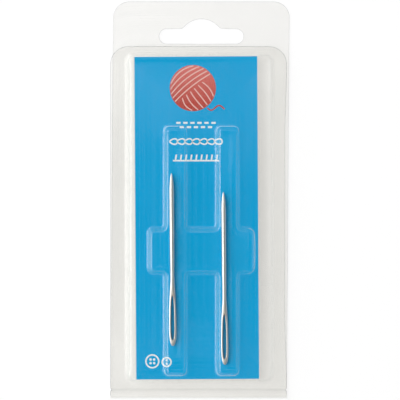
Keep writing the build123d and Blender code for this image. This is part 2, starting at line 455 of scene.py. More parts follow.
def thick_sheet(top, quads, loops, thickness, bevel, plain_runs=()):
    """Closed sheet under an outer face: the face, a copy pushed in along its normals, and a bevelled cut edge.

    Each loop of the outline gets a middle line half way down, pushed outwards by the bevel. Stretches of the
    outline named in plain_runs stay square. Returns the points, the quads and a band number for each quad:
    0 on the faces and 1 on the cut edge.
    """
    normals = point_normals(top, quads)
    under = top - normals * thickness
    count = len(top)
    points, faces, bands = [top, under], [quads, quads[:, ::-1] + count], [0 * quads[:, 0], 0 * quads[:, 0]]
    start = 2 * count
    for loop in loops:
        along = top[np.roll(loop, -1)] - top[np.roll(loop, 1)]
        outward = np.cross(along, normals[loop])
        outward /= np.linalg.norm(outward, axis=1, keepdims=True)
        push = np.where(np.isin(loop, plain_runs), 0, bevel)[:, None]
        points.append((top[loop] + under[loop]) / 2 + outward * push)
        middle = start + np.arange(len(loop))
        after, after_loop = np.roll(middle, -1), np.roll(loop, -1)
        faces.append(np.stack([loop, middle, after, after_loop], axis=1))
        faces.append(np.stack([middle, loop + count, after_loop + count, after], axis=1))
        bands += [1 + 0 * middle, 1 + 0 * middle]
        start += len(loop)
    return np.concatenate(points), np.concatenate(faces), np.concatenate(bands)


# Tray and channel outlines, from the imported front
crease_y = front_low.y
hinge_y = web_low.y + (web_high.z - web_low.z) / 2
panel_half = (front_high.x - front_low.x) / 2
grid_half = panel_half - CUT_BEVEL
fold_x = (front_high.x + front_low.x) / 2
tray_half = (panel_half - SIDE_FLANGE, (front_high.y - TOP_FLANGE - crease_y - BOTTOM_FLANGE) / 2)
tray_centre = (0.0, (front_high.y - TOP_FLANGE + crease_y + BOTTOM_FLANGE) / 2)
tray_low = tray_centre[1] - tray_half[1]
tray_high = tray_centre[1] + tray_half[1]
channel_low = tray_low + CHANNEL_HEEL_ROOM
channel_high = tray_high - CHANNEL_HEAD_ROOM
channel_mid = (channel_low + channel_high) / 2
channel_half = (CHANNEL_WIDTH / 2, (channel_high - channel_low) / 2)
crossbar_half = ((CHANNEL_SPACING + CHANNEL_WIDTH) / 2 + CROSSBAR_OVERHANG, CROSSBAR_HEIGHT / 2)
flange_top = front_low.z + SHEET
tray_rise = TRAY_TOP - flange_top
channel_rise = front_high.z - TRAY_TOP


def wall_run(x, y):
    """Run of the tray's walls: longer on the left than on the right, and between the two at the ends."""
    sides = np.where(x < tray_centre[0], TRAY_RUN_LEFT, TRAY_RUN_RIGHT)
    at_end = soft_step(np.abs(y - tray_centre[1]), tray_half[1] - 2 * TRAY_CORNER, tray_half[1] - TRAY_CORNER / 2)
    return sides + (TRAY_RUN_ENDS - sides) * at_end


def channel_depth(x, y):
    """Depth inside the outline of the two channels and the crossbar, whose right end is slightly round."""
    right, bar_height = crossbar_half[0], crossbar_half[1]
    bow = CROSSBAR_BOW * np.clip(((y - channel_mid) / bar_height) ** 2, 0, 1)
    bar_x = x + bow * soft_step(x - CHANNEL_SHIFT, right / 2, right)
    bar = rounded_depth(bar_x, y, (CHANNEL_SHIFT, channel_mid), crossbar_half, CROSSBAR_CORNER)
    for side in (-1, 1):
        centre = (CHANNEL_SHIFT + side * CHANNEL_SPACING / 2, channel_mid)
        bar = joined_depth(bar, rounded_depth(x, y, centre, channel_half, CHANNEL_CORNER), INNER_CORNER)
    return bar


def slope(height, x, y):
    """Slopes of a height along X and along Y, from its differences over a short step."""
    across = height(x + SLOPE_STEP, y) - height(x - SLOPE_STEP, y)
    along = height(x, y + SLOPE_STEP) - height(x, y - SLOPE_STEP)
    return across / (2 * SLOPE_STEP), along / (2 * SLOPE_STEP)


def channel_run(x, y):
    """Run of the channels' walls: longer where they face left or up, and shorter where they face right or down."""
    across, along = slope(channel_depth, x, y)
    return CHANNEL_RUN + CHANNEL_RUN_CHANGE * np.clip(across - along, -1, 1)


def tray_depth(x, y):
    """Depth inside the outline of the tray's foot."""
    return rounded_depth(x, y, tray_centre, tray_half, TRAY_CORNER)


def plug_depth(x, y):
    """Depth inside the outline of the plug's foot, which is the tray's less PLUG_INSET."""
    half = (tray_half[0] - PLUG_INSET, tray_half[1] - PLUG_INSET)
    return rounded_depth(x, y, tray_centre, half, TRAY_CORNER - PLUG_INSET)


def flange_warp(x, y):
    """How far the flange lifts off the surface below it: gentle waves that fade out at the fold."""
    lift = FLANGE_LIFT * gentle_waves(x, y, *FLANGE_WAVES)
    return lift * soft_step(y, crease_y, crease_y + LIFT_START)


def front_height(x, y):
    """Outer face of the front: crown of the fold, flange, tray and channels, each a drafted wall."""
    crown_rise = web_high.z - flange_top
    crown_reach = crease_y - hinge_y
    crown_radius = (crown_reach**2 + crown_rise**2) / (2 * crown_rise)
    into_crown = np.clip(y - hinge_y, 0, crown_reach)
    crown = web_high.z - crown_radius + np.sqrt(crown_radius**2 - into_crown**2)
    depth = tray_depth(x, y)
    tray = drafted_wall(depth, tray_rise, wall_run(x, y), TRAY_FOOT, TRAY_EDGE)
    inner = channel_depth(x, y)
    channels = drafted_wall(inner, channel_rise, channel_run(x, y), CHANNEL_FOOT, CHANNEL_EDGE)
    sag = TRAY_SAG * soft_step(depth, *TRAY_SAG_DEPTHS) * gentle_waves(x, y, *TRAY_WAVES)
    sag += CHANNEL_SAG * soft_step(inner, *CHANNEL_SAG_DEPTHS) * gentle_waves(x, y, *CHANNEL_WAVES)
    warp = flange_warp(x, y) * (1 - soft_step(depth, -TRAY_FOOT, TRAY_CORNER))
    return crown + tray + channels - sag + warp


def back_height(x, y):
    """Outer face of the back: flange and the plug that fills the tray."""
    run = wall_run(x, y) * (PLUG_TOP - SHEET) / tray_rise
    depth = plug_depth(x, y)
    plug = drafted_wall(depth, PLUG_TOP - SHEET, run, TRAY_FOOT, PLUG_EDGE)
    warp = flange_warp(x, y) * (1 - soft_step(depth, -TRAY_CORNER, TRAY_FOOT))
    return SHEET + plug + warp * BACK_LIFT_SHARE


def side_share(height, x, y):
    """Share of a wall's slope that runs along X: 1 on walls that face the sides, less on those at the ends."""
    across, along = slope(height, x, y)
    return END_WALL_SHARE + (1 - END_WALL_SHARE) * across**2 / np.maximum(across**2 + along**2, 1e-6)


def crisp_ends(x, y):
    """1 at the channels' round ends and at the crossbar's right end, where the foot of the wall is one bright line of
    painted glint.
    """
    at_ends = soft_step(np.abs(y - channel_mid), *(channel_half[1] - reach for reach in CRISP_END_REACH))
    bar_end = CHANNEL_SHIFT + crossbar_half[0]
    return np.maximum(at_ends, soft_step(x, *(bar_end - reach for reach in CRISP_BAR_REACH)))


def front_marks(points):
    """Marks of the front: where its bright lines of painted glint lie on the walls' bends, how far its walls face the
    sides, which sets their painted sheen, its distance outside the tray's foot in mm, and its dark lines of painted
    shade.
    """
    x, y = points[:, 0], points[:, 1]
    depth, inner, run = tray_depth(x, y), channel_depth(x, y), wall_run(x, y)
    on_channels = soft_step(inner, *ON_CHANNELS)
    side = side_share(front_height, x, y) * (TRAY_WALL_SHARE + (1 - TRAY_WALL_SHARE) * on_channels)
    crisp = crisp_ends(x, y) * on_channels
    channel_foot, channel_edge = wall_bends(inner, channel_run(x, y))
    # Bright lines of painted glint, with some stress whitening, just above each wall's foot and at its top edge; one
    # crisp line at the channels' ends and the crossbar's right end
    soft_bend_glints = (sum(wall_bends(depth, run)) + (1 - crisp) * (channel_foot + channel_edge)) * side * SOFT_BEND_GLINT
    bend_glints = soft_bend_glints + CRISP_BEND_GLINT * crisp * channel_foot
    side = side * (1 - CRISP_WALL_LOSS * crisp)
    # Dark lines of painted shade: along the crease, and just inside the tray's top edge
    shade = line_at(y - crease_y, CREASE_WIDTH) + INNER_LINE_SHARE * line_at(depth - run - INNER_LINE_AT)
    return {"bend_glint": bend_glints, "side": side, "outside": -depth / MM, "shade": shade}


def back_marks(points):
    """Marks of the back, as those of the front, with the plug in the tray's place."""
    x, y = points[:, 0], points[:, 1]
    depth = plug_depth(x, y)
    side = side_share(back_height, x, y) * TRAY_WALL_SHARE
    # Bright lines of painted glint on the plug's bends; the dark line along the crease is painted shade
    bend_glints = sum(wall_bends(depth, wall_run(x, y))) * side * SOFT_BEND_GLINT
    return {"bend_glint": bend_glints, "side": side, "outside": -depth / MM, "shade": line_at(y - crease_y, CREASE_WIDTH)}


def squeezed(x, y, top, corner, steady):
    """Places across a panel, squeezed to its outline: it's round at its top corners and notched at the crease.

    Those within steady of the middle stay where they are.
    """
    into_corner = np.clip(y - (top - corner), 0, corner)
    notch = np.clip(FOLD_NOTCH - np.abs(y - crease_y), 0, None)
    width = grid_half - corner + np.sqrt(corner**2 - into_corner**2) - notch
    kept = np.minimum(steady, width - STEADY_MARGIN)
    beyond = kept + (np.abs(x) - kept) * (width - kept) / (grid_half - kept)
    return np.where(np.abs(x) <= kept, x, np.sign(x) * beyond)


def front_sheet(materials):
    """Front half: a grid squeezed to the panel's outline and lifted to the front's height."""
    low_x, high_x = fold_x - panel_half, fold_x + panel_half
    places = [(low_x, SIDE_EDGE_FINE), (high_x, SIDE_EDGE_FINE)]
    places += zip((-tray_half[0] + TRAY_RUN_LEFT / 2, tray_half[0] - TRAY_RUN_RIGHT / 2), TRAY_SIDES_FINE)
    row_places = [(crease_y, FOLD_FINE), (front_high.y, TOP_EDGE_FINE)]
    row_places += [(end, TRAY_ENDS_FINE) for end in (tray_low + TRAY_RUN_ENDS / 2, tray_high - TRAY_RUN_ENDS / 2)]
    for side in (-1, 1):
        channel_x = CHANNEL_SHIFT + side * CHANNEL_SPACING / 2
        places += [(channel_x + wall * (CHANNEL_WIDTH - CHANNEL_RUN) / 2, CHANNEL_FINE) for wall in (-1, 1)]
        places.append((CHANNEL_SHIFT + side * (crossbar_half[0] - CHANNEL_RUN / 2), BAR_END_FINE))
        walls = (channel_half[1] - CHANNEL_RUN / 2, crossbar_half[1] - CHANNEL_RUN / 2)
        row_places += [(channel_mid + side * wall, CHANNEL_FINE) for wall in walls]
    columns = fine_lines(low_x + CUT_BEVEL, high_x - CUT_BEVEL, places)
    rows = fine_lines(hinge_y, front_high.y - CUT_BEVEL, row_places)
    x, y = np.meshgrid(columns - fold_x, rows)
    x = squeezed(x, y, front_high.y - CUT_BEVEL, FRONT_CORNER - CUT_BEVEL, FRONT_STEADY) + fold_x
    span = soft_step(y, crease_y, crease_y + BOW_START) * (1 - soft_step(y, BOW_END, front_high.y - FRONT_CORNER))
    x = x - EDGE_BOW * span * np.clip((x - tray_half[0]) / (high_x - tray_half[0]), 0, 1)
    top = np.stack([x, y, front_height(x, y)], axis=-1).reshape(-1, 3)
    index = grid_index(*x.shape)
    points, faces, bands = thick_sheet(top, grid_quads(index), [grid_outline(index)], SHEET, CUT_BEVEL, index[0])
    return add_piece("front_sheet", "pack_front", points, faces, materials, bands, replaced=["front_shell"],
                     marks=front_marks(points))


def hole_radius(angle):
    """Distance from the hang hole's centre to its outline: a slot with round ends, and a bump on top."""
    sideways, up = np.abs(np.cos(angle)), np.sin(angle)
    half_slot, end = HOLE_LENGTH / 2 - HOLE_HEIGHT / 2, HOLE_HEIGHT / 2
    flat = end / np.maximum(np.abs(up), 1e-9)
    across = half_slot * sideways
    round_end = across + np.sqrt(np.maximum(across**2 - half_slot**2 + end**2, 0))
    slot = np.where(flat * sideways <= half_slot, flat, round_end)
    bump_radius = ((HOLE_BUMP_WIDTH / 2) ** 2 + HOLE_BUMP_RISE**2) / (2 * HOLE_BUMP_RISE)
    drop = end + HOLE_BUMP_RISE - bump_radius
    bump = drop * up + np.sqrt(np.maximum((drop * up) ** 2 - drop**2 + bump_radius**2, 0))
    joined = (bump + slot + np.hypot(bump - slot, HOLE_BLEND)) / 2
    return np.where(up > 0, joined, slot)


def back_sheet(materials):
    """Back half: a grid up to the tray's top, then rings from the tab's outline in to the hang hole."""
    tab_x = back_high.x - panel_half
    join_y = tray_high + TAB_JOIN_ABOVE_TRAY
    plug_side = tray_half[0] - PLUG_INSET
    places = [(-panel_half, 0), (panel_half, 0)]
    places += zip((-plug_side + TRAY_RUN_LEFT / 2, plug_side - TRAY_RUN_RIGHT / 2), PLUG_SIDES_FINE)
    columns = fine_lines(-grid_half, grid_half, places)
    plug_ends = (tray_low + PLUG_INSET + TRAY_RUN_ENDS / 2, tray_high - PLUG_INSET - TRAY_RUN_ENDS / 2)
    rows = fine_lines(hinge_y, join_y, [(crease_y, FOLD_FINE)] + [(end, PLUG_ENDS_FINE) for end in plug_ends])
    x, y = np.meshgrid(columns, rows)
    lean = (tab_x - fold_x) / (back_high.y - crease_y)
    centre = fold_x + lean * np.maximum(y - crease_y, 0)
    flange_share = np.clip((np.abs(x) - plug_side) / (grid_half - plug_side), 0, 1)
    x = squeezed(x, y, back_high.y, BACK_CORNER, BACK_STEADY) + centre * flange_share
    grid = np.stack([x, y], axis=-1)

    corner, foot_y = BACK_CORNER - CUT_BEVEL, back_high.y - BACK_CORNER
    arc = corner * (directions(np.linspace(0, math.pi / 2, 24)) - (1, 0))
    right_arc, left_arc = (tab_x + grid_half, foot_y) + arc, (tab_x - grid_half, foot_y) + arc * (-1, 1)
    outer = np.concatenate([
        grid[-1],
        np.linspace(grid[-1, -1], right_arc[0], 40)[1:],
        right_arc[1:],
        np.linspace(right_arc[-1], left_arc[-1], 150)[1:-1],
        left_arc[::-1],
        np.linspace(left_arc[0], grid[-1, 0], 40)[1:-1],
    ])
    hole = np.array([tab_x, back_high.y - HOLE_TO_TOP - HOLE_BUMP_RISE - HOLE_HEIGHT / 2])
    spoke = outer - hole
    angle = np.arctan2(spoke[:, 1], spoke[:, 0])
    inner = hole + directions(angle) * (hole_radius(angle) + CUT_BEVEL)[:, None]
    rings = outer + (inner - outer) * np.array(TAB_RING_SHARES)[:, None, None]

    plan = np.concatenate([grid.reshape(-1, 2), outer[len(columns):], rings.reshape(-1, 2)])
    top = np.column_stack([plan, back_height(plan[:, 0], plan[:, 1])])
    index = grid_index(*x.shape)
    ring_index = grid_index(len(rings) + 1, len(outer), index[-1, 0])
    quads = np.concatenate([grid_quads(index), ring_quads(ring_index)])
    outline = np.concatenate([index[0, :-1], index[:-1, -1], ring_index[0, len(columns) - 1:], index[:0:-1, 0]])
    loops = [outline, ring_index[-1][::-1]]
    points, faces, bands = thick_sheet(top, quads, loops, SHEET, CUT_BEVEL, index[0])
    return add_piece("back_sheet", "pack_back", points, faces, materials, bands, replaced=["back_shell"],
                     marks=back_marks(points))


def fold_nose(materials):
    """Nose of the folded bead: a half ring about the bead's middle, carried along the fold."""
    middle_z = (web_low.z + web_high.z) / 2
    outer_radius = (web_high.z - web_low.z) / 2
    inner_radius = outer_radius - SHEET
    turn = np.linspace(-math.pi / 2, -3 * math.pi / 2, 25)
    section = np.concatenate([outer_radius * directions(turn), inner_radius * directions(turn[::-1])])
    ends = np.linspace(front_low.x, front_high.x, 61)
    section = np.column_stack([0 * section[:, 0], (hinge_y, middle_z) + section])
    points = section + ends[:, None, None] * (1, 0, 0)
    index = grid_index(len(ends), len(section))
    skin = ring_quads(index)
    steps = np.arange(len(turn) - 1)
    cap = np.stack([steps, steps + 1, len(section) - 2 - steps, len(section) - 1 - steps], axis=1)
    faces = np.concatenate([skin, cap, cap[:, ::-1] + index[-1, 0]])
    bands = np.repeat([0, 1], [len(skin), 2 * len(cap)])
    nose = add_piece("fold_nose", None, points.reshape(-1, 3), faces, materials, bands)
    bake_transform(nose)
    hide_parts("hinge_web")
    return nose


def needle_rows(length):
    """Places of the cross-sections along a needle, close together at the heel, the eye's ends and the point."""
    ease = (1 - np.cos(np.linspace(0, math.pi, 61))) / 2
    quarter = np.sin(np.linspace(0, math.pi / 2, 25))
    heel = EYE_START * (1 - quarter[::-1])
    eye = EYE_START + (EYE_END - EYE_START) * ease
    neck = np.linspace(EYE_END, NECK_AT, 18)
    shaft = np.linspace(NECK_AT, length - POINT_LENGTH, 34)
    point = length - POINT_LENGTH * (1 - quarter)
    return np.concatenate([heel, eye[1:], neck[1:], shaft[1:], point[1:]]), len(heel) - 1, len(eye)


def needle_profile(y, length):
    """Half width, half thickness and squareness of the cross-section at each place along a needle."""
    into_heel = np.clip(y / BELLY_AT, 0, 1)
    heel = HEAD_HALF_WIDTH * np.sqrt(1 - (1 - into_heel) ** HEEL_POWER)
    narrowing = (1 - np.cos(math.pi * np.clip((y - BELLY_AT) / (NECK_AT - BELLY_AT), 0, 1) ** NECK_POWER)) / 2
    width = np.where(y < BELLY_AT, heel, HEAD_HALF_WIDTH + (NECK_RADIUS - HEAD_HALF_WIDTH) * narrowing)
    swell = soft_step(y, NECK_AT, SWELL_END)
    into_point = np.clip((y - length) / POINT_LENGTH + 1, 0, 1)
    blunt = (1 - into_point ** POINT_POWERS[0]) ** POINT_POWERS[1]
    shaft = (NECK_RADIUS + (NEEDLE_RADIUS - NECK_RADIUS) * swell) * blunt
    width = np.where(y < NECK_AT, width, shaft)
    flat = HEAD_HALF_THICKNESS * np.sqrt(1 - (1 - np.clip(y / HEEL_FLAT, 0, 1)) ** 2)
    into_neck = soft_step(y, EYE_END - NECK_LEAD, NECK_AT)
    thick = np.where(y < NECK_AT, flat + (NECK_RADIUS - HEAD_HALF_THICKNESS) * into_neck, shaft)
    return width, thick, HEAD_SQUARENESS - (HEAD_SQUARENESS - 2) * into_neck


def build_needle(name, body, node, steel):
    """Yarn needle as cross-sections along its length: superellipses that open round the eye.

    Each half of the skin runs from a seam on top round the outside to a seam below. Along the eye the seams
    stand apart by the eye's width, and a wall inside the eye joins them.
    """
    low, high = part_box(node)
    length = (high.y - low.y) / math.cos(NEEDLE_LEAN)
    y, eye_first, eye_count = needle_rows(length)
    width, thick, square = needle_profile(y, length)
    along_eye = np.clip((y - EYE_START) / (EYE_END - EYE_START), 0, 1)
    oval = 1 - np.abs(2 * along_eye - 1) ** EYE_POWER
    taper = 1 - EYE_TAPER * along_eye
    eye = EYE_HALF_WIDTH * np.sqrt(np.maximum(oval, 0)) * taper
    turn = np.linspace(math.pi / 2, -math.pi / 2, 25)[None, :]
    power = (2 / square)[:, None]
    reach = np.abs(np.cos(turn)) ** power
    reach[:, 0] = reach[:, -1] = 0
    level = np.sign(np.sin(turn)) * np.abs(np.sin(turn)) ** power
    skin_x = eye[:, None] + (width - eye)[:, None] * reach
    rim = EYE_RIM_DROP * np.minimum(1, eye / (EYE_HALF_WIDTH / 2))[:, None]
    rim_drop = 1 - rim * (1 - np.minimum(1, (skin_x - eye[:, None]) / EYE_RIM)) ** 2
    skin_z = thick[:, None] * level * rim_drop
    skin = np.stack(np.broadcast_arrays(skin_x, y[:, None], skin_z), axis=-1)
    rows = slice(eye_first, eye_first + eye_count)
    down = np.linspace(1, -1, 9)[None, :]
    wall_x = eye[rows, None] * (1 - EYE_WALL_CROWN * (1 - down**2))
    wall = np.stack(np.broadcast_arrays(wall_x, y[rows, None], skin_z[rows, :1] * down), axis=-1)
    flip = np.array([-1, 1, 1])
    parts, points, faces, start = (skin, skin * flip, wall, wall * flip), [], [], 0
    for part in parts:
        index = grid_index(*part.shape[:2], start)
        faces.append(grid_quads(index))
        points.append(part.reshape(-1, 3))
        start += index.size
    points = np.concatenate(points)
    heel = np.array([high.x - turned(HEAD_HALF_WIDTH, BELLY_AT, NEEDLE_LEAN)[0], low.y, (low.z + high.z) / 2])
    placed = heel + np.column_stack([*turned(points[:, 0], points[:, 1], NEEDLE_LEAN), points[:, 2]])
    # Mark for the painted shade inside the eye: its inner walls and the rim round it
    on_rim = np.clip(1 - (skin_x - eye[:, None]) / EYE_RIM, 0, 1) * (eye > 0)[:, None]
    inside_eye = np.concatenate([on_rim.ravel(), on_rim.ravel(), np.ones(2 * wall_x.size)])
    piece = add_piece(name, body, placed, np.concatenate(faces), [steel], replaced=[node],
                      marks={"inside_eye": inside_eye})


# Card: its middle, and its half width and length, which fill the card's box when it leans
card_middle = (card_low + card_high) / 2
card_cos, card_sin = math.cos(CARD_LEAN), math.sin(CARD_LEAN)
card_half = np.linalg.solve([[card_cos, card_sin], [card_sin, card_cos]], (card_high - card_low)[:2]) / 2


def on_card(local, lift=0.0):
    """Points given in the card's own directions, from its middle, placed on its printed face."""
    x, y = turned(local[:, 0], local[:, 1], CARD_LEAN)
    curl = CARD_CURL * np.abs(local[:, 1] / card_half[1]) ** CARD_CURL_POWER
    return np.column_stack([card_middle.x + x, card_middle.y + y, card_high.z + curl + lift])


def card_board(materials):
    """Board with a slight curl at its ends; the print stops short of its cut edges."""
    edges = [half - CARD_BEVEL for half in card_half]
    lines = []
    for edge, borders, count in zip(edges, CARD_BORDERS, (14, 40)):
        inner = np.linspace(-(edge - borders[0]), edge - borders[1], count)
        lines.append(np.concatenate([[-edge], inner, [edge]]))
    x, y = np.meshgrid(lines[0], lines[1])
    top = on_card(np.stack([x.ravel(), y.ravel()], axis=1))
    index = grid_index(*x.shape)
    thickness = card_high.z - card_low.z
    points, faces, bands = thick_sheet(top, grid_quads(index), [grid_outline(index)], thickness, CARD_BEVEL)
    border = np.ones(index[1:, 1:].shape, int)
    border[1:-1, 1:-1] = 0
    bands[:border.size] = border.ravel()
    bands[border.size:2 * border.size] = 2
    board = add_piece("card_board", "loose_card", points, faces, materials, bands, replaced=["card"])


def ribbon(path, width, closed=False):
    """Flat band of a given width along a path: each point is pushed both ways along the path's normal."""
    path = np.asarray(path, float)
    if closed:
        along = np.roll(path, -1, axis=0) - np.roll(path, 1, axis=0)
    else:
        along = np.gradient(path, axis=0)
    side = np.stack([-along[:, 1], along[:, 0]], axis=1) / np.linalg.norm(along, axis=1, keepdims=True)
    points = np.stack([path + side * (width / 2), path - side * (width / 2)], axis=1).reshape(-1, 2)
    start = 2 * np.arange(len(path) if closed else len(path) - 1)
    after = (start + 2) % len(points)
    return points, np.stack([start, start + 1, after + 1, after], axis=1)


def add_print(name, shapes, ink, lift=INK / 2):
    """Ink on the card: flat shapes gathered in one mesh, as thick as the ink."""
    points, faces, start = [], [], 0
    for shape_points, shape_faces in shapes:
        points.append(shape_points)
        faces.append(shape_faces + start)
        start += len(shape_points)
    placed = on_card(np.concatenate(points), lift)
    quads = np.concatenate(faces)
    below = placed - np.array([0, 0, INK])
    edges = np.concatenate([quads[:, [corner, (corner + 1) % 4]] for corner in range(4)])
    _, where, times = np.unique(np.sort(edges, axis=1), axis=0, return_index=True, return_counts=True)
    rim = edges[where[times == 1]]
    walls = np.stack([rim[:, 0], rim[:, 1], rim[:, 1] + start, rim[:, 0] + start], axis=1)
    faces = np.concatenate([quads, quads[:, ::-1] + start, walls])
    piece = add_piece(name, "loose_card", np.concatenate([placed, below]), faces, [ink])


def card_local(x, y):
    """A place in the frame, in millimetres, as the card's own directions in metres."""
    return np.array(turned(x * MM - card_middle.x, y * MM - card_middle.y, -CARD_LEAN))


BALL_AT = card_local(-2.86, 44.6)
BUTTONS_AT = card_local(-16.8, -64.3)


def circle(radius, count):
    """Points round a circle."""
    return radius * directions(np.linspace(0, 2 * math.pi, count, endpoint=False))


def disc(middle, radius, rings, around):
    """Filled circle as rings round its middle."""
    points = middle + np.linspace(0, 1, rings)[:, None, None] * circle(radius, around)
    return points.reshape(-1, 2), ring_quads(grid_index(rings, around))


def yarn_ball_prints(red, pale):
    """Ball of yarn: a disc, and strands that are shallow arcs between points on its edge."""
    run = np.linspace(0, 1, 40)
    # Thread end: from the ball's foot to the right, in ball radii, with a slight wave
    tail = np.stack([0.62 + 0.75 * run, -0.86 - 0.10 * np.sin(run * 2.2 * math.pi)], axis=1)
    ball = [disc(BALL_AT, BALL_RADIUS, 8, 96), ribbon(BALL_AT + BALL_RADIUS * tail, TAIL_WIDTH)]
    add_print("yarn_ball_print", ball, red)
    across = directions(STRAND_LEAN)
    up = np.array([-across[1], across[0]])
    paths, run = [], np.linspace(-1, 1, 41)
    for offset in STRANDS_ACROSS:
        bulge = offset + (STRAND_BULGE[0] + STRAND_BULGE[1] * offset) * (1 - run**2)
        paths.append(np.outer(run * math.sqrt(STRAND_REACH**2 - offset**2), across) + np.outer(bulge, up))
    for offset in STRANDS_DOWN:
        reach = np.linspace(STRAND_START, math.sqrt(STRAND_REACH**2 - offset**2), 30)
        sway = offset * (1 + STRAND_SWAY * np.sin(math.pi * np.linspace(0, 1, 30)))
        paths.append(np.outer(sway, across) - np.outer(reach, up))
    strands = [ribbon(BALL_AT + BALL_RADIUS * path, STRAND_WIDTH) for path in paths]
    add_print("yarn_strand_print", strands, pale, lift=INK)


def stitch_places(row, count):
    """Places of a row's stitches, at even distances. A row is its middle and its width, in millimetres."""
    x, y, width = row
    return [card_local(x + width * ((k + 0.5) / count - 0.5), y) for k in range(count)]


def stitch_prints(white):
    """Three rows of hand stitches: two staggered lines of running stitch, chain stitch and blanket stitch."""
    shapes = []
    x, y, width = STITCH_ROWS[0]
    for line, count in ((0.85, 6), (-0.85, 5)):
        for at in stitch_places((x, y + line, width * count / 6), count):
            shapes.append(ribbon([at - (0.85 * MM, 0), at + (0.85 * MM, 0)], THREAD * 1.3))
    link = circle(MM, 28)
    link = np.stack([1.5 * link[:, 0], 1.05 * link[:, 1] * (1 + 0.35 * link[:, 0] / MM)], axis=1)
    shapes += [ribbon(at + link, THREAD * 0.9, closed=True) for at in stitch_places(STITCH_ROWS[1], 7)]
    x, y, width = STITCH_ROWS[2]
    shapes.append(ribbon([card_local(x + side * width / 2, y - 1.1) for side in (-1, 1)], THREAD))
    for foot in stitch_places((x, y - 1.0, width), 9):
        shapes.append(ribbon([foot, foot + (0.35 * MM, 2.3 * MM)], THREAD))
    add_print("stitch_rows_print", shapes, white)


def button_prints(white):
    """Two sewing buttons: a large ring with four dots, and a small one with two.

    A button is given in millimetres by its place, its radius, its count of dots and a dot's radius.
    """
    shapes = []
    for across, drop, radius, dots, dot_radius in BUTTONS:
        middle = BUTTONS_AT + (across * MM, -drop * MM)
        shapes.append(ribbon(middle + circle(radius * MM, 48), THREAD, closed=True))
        for count in range(dots):
            angle = math.pi / dots + count * 2 * math.pi / dots
            shapes.append(disc(middle + 0.4 * radius * MM * directions(angle), dot_radius * MM, 3, 24))
    add_print("button_print", shapes, white)


def add_node(tree, kind, inputs=(), **settings):
    """New shader node. Settings are its own properties; each input is a socket to link from, or a value to set."""
    node = tree.nodes.new("ShaderNode" + kind)
    for label, value in settings.items():
        setattr(node, label, value)
    for key, value in inputs.items() if isinstance(inputs, dict) else enumerate(inputs):
        if isinstance(value, bpy.types.NodeSocket):
            tree.links.new(value, node.inputs[key])
        else:
            node.inputs[key].default_value = value
    return node


def maths(tree, operation, *values, clamp=False):
    """Result of one sum on sockets and numbers."""
    return add_node(tree, "Math", values, operation=operation, use_clamp=clamp).outputs[0]


def product(tree, value, *factors):
    """A value multiplied by each factor in turn."""
    for factor in factors:
        value = maths(tree, "MULTIPLY", value, factor)
    return value


def ranged(tree, value, low, high, at_low, at_high, kind="LINEAR"):
    """A value that runs from low to high, made to run from at_low to at_high and held at both ends."""
    inputs = {"Value": value, "From Min": low, "From Max": high, "To Min": at_low, "To Max": at_high}
    return add_node(tree, "MapRange", inputs, interpolation_type=kind).outputs[0]


def mark(tree, label):
    """A mark that the points of a piece carry."""
    return add_node(tree, "Attribute", attribute_name=label).outputs["Fac"]


def object_place(tree):
    """Place on the piece, as Object coordinates."""
    return add_node(tree, "TexCoord").outputs["Object"]


def mixed_shaders(tree, share, first, second):
    """Two shaders mixed, with the second one's share."""
    return add_node(tree, "MixShader", (share, first.outputs[0], second.outputs[0]))


def mixed_colours(tree, share, first, second):
    """Two colours mixed, with the second one's share."""
    return add_node(tree, "Mix", {0: share, 6: first, 7: second}, data_type="RGBA").outputs[2]


def varied_colour(tree, colour, factor):
    """A colour multiplied by a factor that varies over the surface."""
    return add_node(tree, "VectorMath", {0: colour, "Scale": factor}, operation="SCALE").outputs[0]


def bumped(tree, height, strength, distance, **under):
    """Normal tilted by a height, from another normal where one is given."""
    return add_node(tree, "Bump", {"Height": height, "Strength": strength, "Distance": distance, **under}).outputs[0]


def pattern(tree, group, values):
    """Result of a node group placed with its own values."""
    return add_node(tree, "Group", values, node_tree=group).outputs[0]


def new_group(name, inputs):
    """Empty shader node group with float inputs and one float output: its tree, its inputs and its result."""
    group = bpy.data.node_groups.new(name, "ShaderNodeTree")
    for label, value in inputs.items():
        group.interface.new_socket(label, in_out="INPUT", socket_type="NodeSocketFloat").default_value = value
    group.interface.new_socket("Value", in_out="OUTPUT", socket_type="NodeSocketFloat")
    return group, group.nodes.new("NodeGroupInput").outputs, group.nodes.new("NodeGroupOutput").inputs[0]


def mottle_group():
    """Soft blotches from Object coordinates: fractal noise, spread about 1 by Strength. Scale is per metre."""
    group, given, result = new_group("soft_mottle", {"Scale": 200.0, "Detail": 3.0, "Strength": 0.1})
    inputs = {"Vector": object_place(group), "Scale": given["Scale"], "Detail": given["Detail"]}
    about_zero = maths(group, "SUBTRACT", add_node(group, "TexNoise", inputs).outputs["Fac"], 0.5)
    group.links.new(maths(group, "MULTIPLY_ADD", about_zero, given["Strength"], 1.0), result)
    return group


def hairline_group():
    """Fine lines along Y from Object coordinates: noise stretched along Y. Across and Along are per metre."""
    group, given, result = new_group("hairlines", {"Across": 9000.0, "Along": 120.0})
    scale = add_node(group, "CombineXYZ", (given["Across"], given["Along"], given["Across"])).outputs[0]
    stretched = add_node(group, "VectorMath", (object_place(group), scale), operation="MULTIPLY").outputs[0]
    noise = add_node(group, "TexNoise", {"Vector": stretched, "Scale": 1.0, "Detail": 2.0})
    group.links.new(noise.outputs["Fac"], result)
    return group


def new_material(name):
    """Material with its nodes cleared, and its node tree."""
    material = bpy.data.materials.new(name)
    material.use_nodes = True
    material.node_tree.nodes.clear()
    return material, material.node_tree


def finished(material, shader):
    """The material, with this shader as its surface."""
    add_node(material.node_tree, "OutputMaterial", {"Surface": shader.outputs[0]})
    return material


